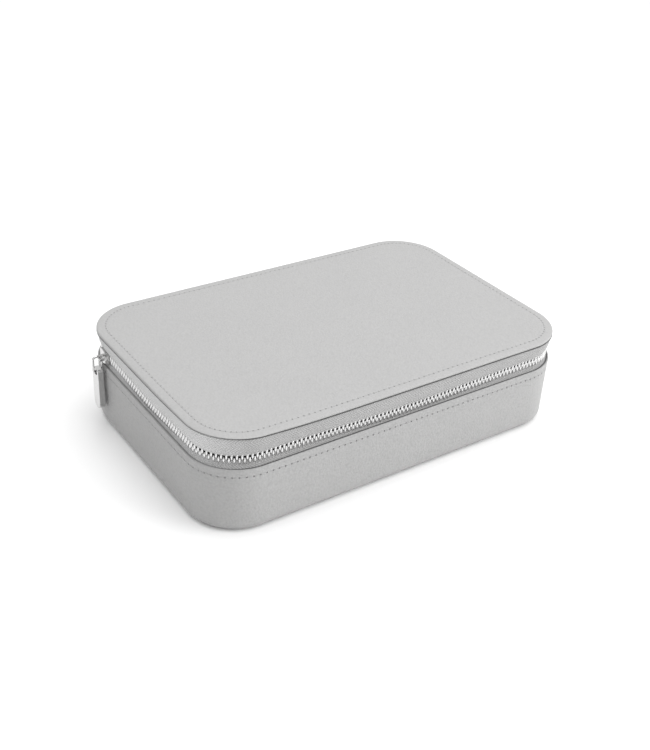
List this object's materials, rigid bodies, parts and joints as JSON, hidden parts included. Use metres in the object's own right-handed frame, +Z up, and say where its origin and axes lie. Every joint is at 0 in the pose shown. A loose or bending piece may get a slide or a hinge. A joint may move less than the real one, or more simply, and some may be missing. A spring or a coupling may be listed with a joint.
{
  "type": "travel jewelry case",
  "caption": "Flat zipped travel jewelry case with a padded hinged lid, divided lined base with ring rolls, and a metal zip with a hanging pull.",
  "frame": {"origin": "middle of the case's underside, on the surface it stands on", "axes": "+X along the case's length, -Y towards the front, +Z up"},
  "size_m": [0.257, 0.164, 0.06],
  "materials": {
    "faux_leather": "fine pebble grain, matte",
    "tray_board": "moulded, matte",
    "velvet": "short pile",
    "foam": "foam sheet",
    "zip_tape": "herringbone weave",
    "elastic": "ribbed elastic",
    "polished_metal": "polished"
  },
  "bodies": {
    "base": {"wall_cover": "faux_leather", "bottom_cover": "faux_leather", "base_tray": "tray_board", "insert_wall": "velvet", "long_divider": "velvet", "rear_divider": "velvet", "ring_divider": "velvet", "front_divider": "velvet", "floor_lining": "velvet", "wall_lining": "velvet", "spine_anchor": "velvet", "ring_roll_1": "velvet", "ring_roll_2": "velvet", "ring_roll_3": "velvet", "ring_roll_4": "velvet", "ring_roll_5": "velvet", "ring_roll_6": "velvet", "floor_pad": "foam", "zip_tape_base": "zip_tape", "zip_teeth_base": "polished_metal", "zip_teeth_base_parted": "polished_metal", "top_stop_base": "polished_metal", "bottom_stop": "polished_metal"},
    "lid": {"zip_tape_lid": "zip_tape", "zip_teeth_lid": "polished_metal", "zip_teeth_lid_parted": "polished_metal", "top_stop_lid": "polished_metal", "lid_cover": "faux_leather", "lid_foam": "foam", "lid_board": "tray_board", "lid_lining": "velvet", "hinge_spine": "faux_leather", "spine_lining": "velvet", "lid_pocket": "velvet", "pocket_band": "elastic", "hook_strip": "velvet", "necklace_hook_1": "polished_metal", "necklace_hook_2": "polished_metal", "necklace_hook_3": "polished_metal", "necklace_hook_4": "polished_metal", "necklace_hook_5": "polished_metal"},
    "slider": {"zip_slider": "polished_metal"},
    "link": {"pull_link": "polished_metal"},
    "tab": {"pull_tab": "polished_metal"}
  },
  "joints": [
    {"name": "lid_hinge", "type": "hinge", "parent": "base", "child": "lid", "pos_m": [0, 0.082, 0.041], "axis": [-1, 0, 0], "range_deg": [0, 180], "deforming": ["zip_teeth_lid", "zip_teeth_lid_parted"]},
    {"name": "zip_slide", "type": "slide", "parent": "base", "child": "slider", "axis": [0, -1, 0], "range_m": [0, 0.09], "deforming": ["zip_teeth_base", "zip_teeth_base_parted"]},
    {"name": "link_hinge", "type": "hinge", "parent": "slider", "child": "link", "pos_m": [-0.1275, 0.05, 0.0462], "axis": [0, 1, 0], "range_deg": [0, 90]},
    {"name": "tab_swing", "type": "hinge", "parent": "link", "child": "tab", "pos_m": [-0.12865, 0.05, 0.0376], "axis": [1, 0, 0], "range_deg": [-60, 60]}
  ]
}
